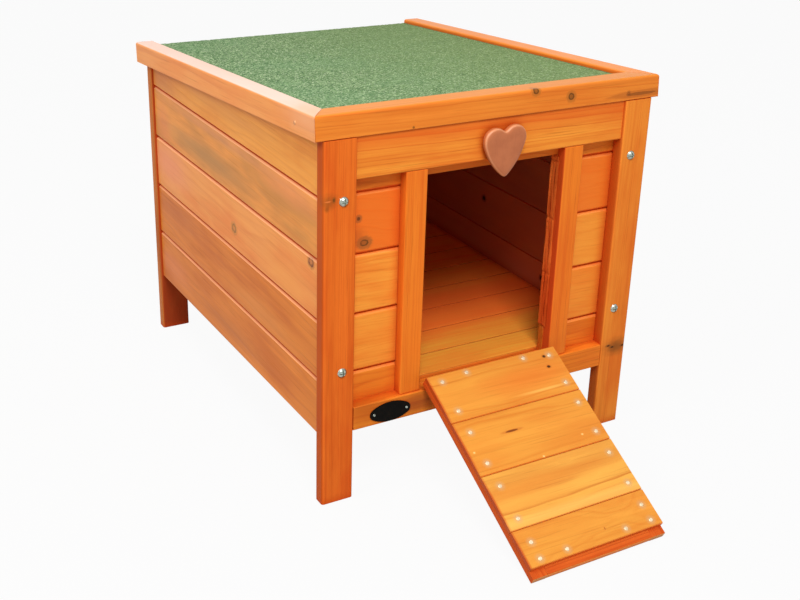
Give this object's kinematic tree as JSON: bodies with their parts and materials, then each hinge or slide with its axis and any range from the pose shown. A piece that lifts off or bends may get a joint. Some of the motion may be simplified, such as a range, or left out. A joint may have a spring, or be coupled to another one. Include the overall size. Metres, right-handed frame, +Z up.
{
  "type": "small animal hutch",
  "caption": "Small wooden animal hutch on legs with shiplap walls, a hinged felt-covered pent roof and a fold-up ramp door held by a turning wooden heart.",
  "frame": {"origin": "on the ground, in the middle of the whole hutch with its ramp down", "axes": "+Z up, -Y the front with the doorway and the ramp, +X to the right as seen from the front"},
  "size_m": [0.4222, 0.7374, 0.4307],
  "materials": {
    "front_wood": "honey orange glazed softwood with grain and small knots, satin",
    "side_wood": "paler pinkish orange glazed softwood, satin",
    "inner_wood": "unplaned softwood with a thin red-brown glaze, matt",
    "roof_wood": "honey orange glazed softwood with rounded upper edges, satin",
    "ramp_wood": "honey orange glazed softwood, satin",
    "heart_wood": "dusty terracotta glazed wood, matt",
    "mineral_felt": "bitumen felt with green mineral granules, matt and rough",
    "zinc_fixings": "zinc-plated steel, satin",
    "black_plate": "blank black oval plate, semi-gloss"
  },
  "bodies": {
    "cabin": {"front_left_post": "front_wood", "front_right_post": "front_wood", "rear_left_post": "side_wood", "rear_right_post": "side_wood", "front_top_rail": "front_wood", "front_bottom_rail": "front_wood", "rear_top_rail": "side_wood", "rear_bottom_rail": "side_wood", "left_jamb": "front_wood", "right_jamb": "front_wood", "front_sill_board": "front_wood", "front_left_boards": "front_wood", "front_right_boards": "front_wood", "front_head_board": "front_wood", "left_board_1": "side_wood", "left_board_2": "side_wood", "left_board_3": "side_wood", "left_board_4": "side_wood", "left_board_5": "side_wood", "right_board_1": "side_wood", "right_board_2": "side_wood", "right_board_3": "side_wood", "right_board_4": "side_wood", "right_board_5": "side_wood", "rear_boards": "side_wood", "front_left_batten": "inner_wood", "front_right_batten": "inner_wood", "rear_left_batten": "inner_wood", "rear_right_batten": "inner_wood", "floor_bearers": "inner_wood", "floor_boards": "inner_wood", "panel_screws": "zinc_fixings", "oval_plate": "black_plate", "oval_plate_pins": "zinc_fixings", "roof_hinge_frame_leaves": "zinc_fixings", "ramp_hinge_frame_leaves": "zinc_fixings", "hinge_pins": "zinc_fixings", "hinge_frame_screws": "zinc_fixings"},
    "roof": {"roof_deck": "inner_wood", "roof_felt": "mineral_felt", "roof_trim_front": "roof_wood", "roof_trim_left": "roof_wood", "roof_trim_right": "roof_wood", "roof_rear_batten": "inner_wood", "roof_trim_nails": "zinc_fixings", "roof_hinge_roof_leaves": "zinc_fixings", "roof_hinge_roof_screws": "zinc_fixings"},
    "ramp": {"ramp_board_1": "ramp_wood", "ramp_board_2": "ramp_wood", "ramp_board_3": "ramp_wood", "ramp_board_4": "ramp_wood", "ramp_left_stile": "ramp_wood", "ramp_right_stile": "ramp_wood", "ramp_head_rail": "ramp_wood", "ramp_foot_rail": "ramp_wood", "ramp_nails": "zinc_fixings", "ramp_hinge_ramp_leaves": "zinc_fixings", "ramp_hinge_ramp_screws": "zinc_fixings"},
    "heart": {"heart_button": "heart_wood", "heart_screw": "zinc_fixings"}
  },
  "joints": [
    {"name": "roof_hinge", "type": "hinge", "parent": "cabin", "child": "roof", "pos_m": [0, 0.35634, 0.36777], "axis": [-1, 0, 0], "range_deg": [0, 95]},
    {"name": "ramp_hinge", "type": "hinge", "parent": "cabin", "child": "ramp", "pos_m": [0.0034, -0.14696, 0.1129], "axis": [-1, 0, 0], "range_deg": [0, 118.57]},
    {"name": "heart_turn", "type": "hinge", "parent": "cabin", "child": "heart", "pos_m": [0.004, -0.15356, 0.381], "axis": [0, 1, 0], "range_deg": [0, 180]}
  ],
  "couplings": [
    {"joint": "heart_turn", "follows": "ramp_hinge", "ratio": 1.518}
  ]
}
